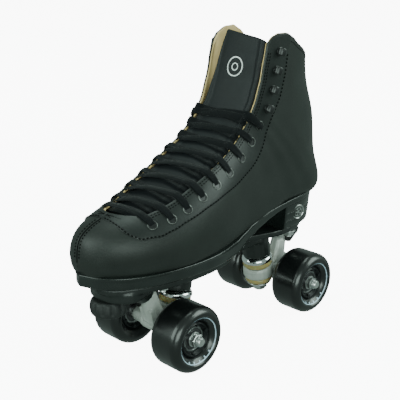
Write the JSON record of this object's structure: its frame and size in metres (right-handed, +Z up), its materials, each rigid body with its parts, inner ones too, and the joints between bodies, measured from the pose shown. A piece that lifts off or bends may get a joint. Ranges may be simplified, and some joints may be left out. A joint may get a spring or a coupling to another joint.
{
  "type": "quad roller skate",
  "caption": "High-top leather roller skate with laced throat and speed hooks, steering trucks on a nylon plate, paired wheels and a toe stop.",
  "frame": {"origin": "on the ground under the middle of the skate's bounding box", "axes": "-Y towards the toe, +Y towards the heel, +X towards the outer side of the foot (a left skate), +Z up"},
  "size_m": [0.108, 0.2676, 0.2609],
  "materials": {
    "upper_leather": "smooth full-grain leather, fine grain, satin",
    "facing_leather": "the same leather, sewn on top along a stitched edge",
    "tongue_leather": "smooth blue-black leather, satin",
    "footbed": "tan lining cloth over foam",
    "lace_cotton": "flat woven lace, matt",
    "black_metal": "black lacquered steel, semi-gloss, worn bright on the rims",
    "sole_black": "moulded rubber, satin, with a polished rim",
    "plate_nylon": "glass-filled nylon, moulded texture",
    "cast_alloy": "cast, tumbled, satin grey",
    "zinc_steel": "zinc-plated, slightly dull",
    "bright_chrome": "polished",
    "cushion_urethane": "olive-amber urethane, slightly translucent",
    "pivot_nylon": "nylon bush",
    "wheel_urethane": "cast urethane, glossy, with a printed pale blue ring",
    "hub_plastic": "moulded nylon core",
    "bearing_steel": "ground steel with a black seal",
    "stop_rubber": "moulded rubber, satin"
  },
  "bodies": {
    "boot_and_plate": {"outer_quarter": "upper_leather", "inner_quarter": "upper_leather", "outer_facing": "facing_leather", "inner_facing": "facing_leather", "outer_hook_row": "black_metal", "inner_hook_row": "black_metal", "tongue": "tongue_leather", "lace": "lace_cotton", "insole": "footbed", "outsole": "sole_black", "heel_block": "sole_black", "plate": "plate_nylon", "mounting_bolt_front_outer": "zinc_steel", "mounting_bolt_front_inner": "zinc_steel", "mounting_bolt_rear_outer": "zinc_steel", "mounting_bolt_rear_inner": "zinc_steel", "front_kingpin": "zinc_steel", "front_kingpin_nut": "zinc_steel", "front_upper_cushion": "cushion_urethane", "front_lower_cushion": "cushion_urethane", "front_upper_retainer": "bright_chrome", "front_lower_retainer": "bright_chrome", "front_pivot_cup": "pivot_nylon", "rear_kingpin": "zinc_steel", "rear_kingpin_nut": "zinc_steel", "rear_upper_cushion": "cushion_urethane", "rear_lower_cushion": "cushion_urethane", "rear_upper_retainer": "bright_chrome", "rear_lower_retainer": "bright_chrome", "rear_pivot_cup": "pivot_nylon"},
    "front_truck": {"front_hanger": "cast_alloy", "front_axle": "zinc_steel", "front_outer_axle_washer": "zinc_steel", "front_outer_axle_nut": "zinc_steel", "front_inner_axle_washer": "zinc_steel", "front_inner_axle_nut": "zinc_steel"},
    "front_outer_wheel": {"front_outer_tyre": "wheel_urethane", "front_outer_hub": "hub_plastic", "front_outer_near_bearing": "bearing_steel", "front_outer_far_bearing": "bearing_steel"},
    "front_inner_wheel": {"front_inner_tyre": "wheel_urethane", "front_inner_hub": "hub_plastic", "front_inner_near_bearing": "bearing_steel", "front_inner_far_bearing": "bearing_steel"},
    "rear_truck": {"rear_hanger": "cast_alloy", "rear_axle": "zinc_steel", "rear_outer_axle_washer": "zinc_steel", "rear_outer_axle_nut": "zinc_steel", "rear_inner_axle_washer": "zinc_steel", "rear_inner_axle_nut": "zinc_steel"},
    "rear_outer_wheel": {"rear_outer_tyre": "wheel_urethane", "rear_outer_hub": "hub_plastic", "rear_outer_near_bearing": "bearing_steel", "rear_outer_far_bearing": "bearing_steel"},
    "rear_inner_wheel": {"rear_inner_tyre": "wheel_urethane", "rear_inner_hub": "hub_plastic", "rear_inner_near_bearing": "bearing_steel", "rear_inner_far_bearing": "bearing_steel"},
    "toe_stop": {"toe_stop_pad": "stop_rubber", "toe_stop_stem": "zinc_steel"}
  },
  "joints": [
    {"name": "front_truck_steer", "type": "hinge", "parent": "boot_and_plate", "child": "front_truck", "pos_m": [0, -0.03975, 0.0352], "axis": [0, -0.8007, 0.599], "range_deg": [-8, 8], "stiffness_Nm_per_rad": 18, "deforming": ["front_upper_cushion", "front_lower_cushion"]},
    {"name": "front_outer_wheel_spin", "type": "hinge", "parent": "front_truck", "child": "front_outer_wheel", "pos_m": [0.036, -0.06075, 0.0285], "axis": [1, 0, 0], "continuous": true},
    {"name": "front_inner_wheel_spin", "type": "hinge", "parent": "front_truck", "child": "front_inner_wheel", "pos_m": [-0.036, -0.06075, 0.0285], "axis": [1, 0, 0], "continuous": true},
    {"name": "rear_truck_steer", "type": "hinge", "parent": "boot_and_plate", "child": "rear_truck", "pos_m": [0, 0.07125, 0.0352], "axis": [0, 0.8007, 0.599], "range_deg": [-8, 8], "stiffness_Nm_per_rad": 18, "deforming": ["rear_upper_cushion", "rear_lower_cushion"]},
    {"name": "rear_outer_wheel_spin", "type": "hinge", "parent": "rear_truck", "child": "rear_outer_wheel", "pos_m": [0.036, 0.09225, 0.0285], "axis": [1, 0, 0], "continuous": true},
    {"name": "rear_inner_wheel_spin", "type": "hinge", "parent": "rear_truck", "child": "rear_inner_wheel", "pos_m": [-0.036, 0.09225, 0.0285], "axis": [1, 0, 0], "continuous": true},
    {"name": "toe_stop_height", "type": "slide", "parent": "boot_and_plate", "child": "toe_stop", "axis": [0, 0, 1], "range_m": [-0.004, 0]}
  ]
}
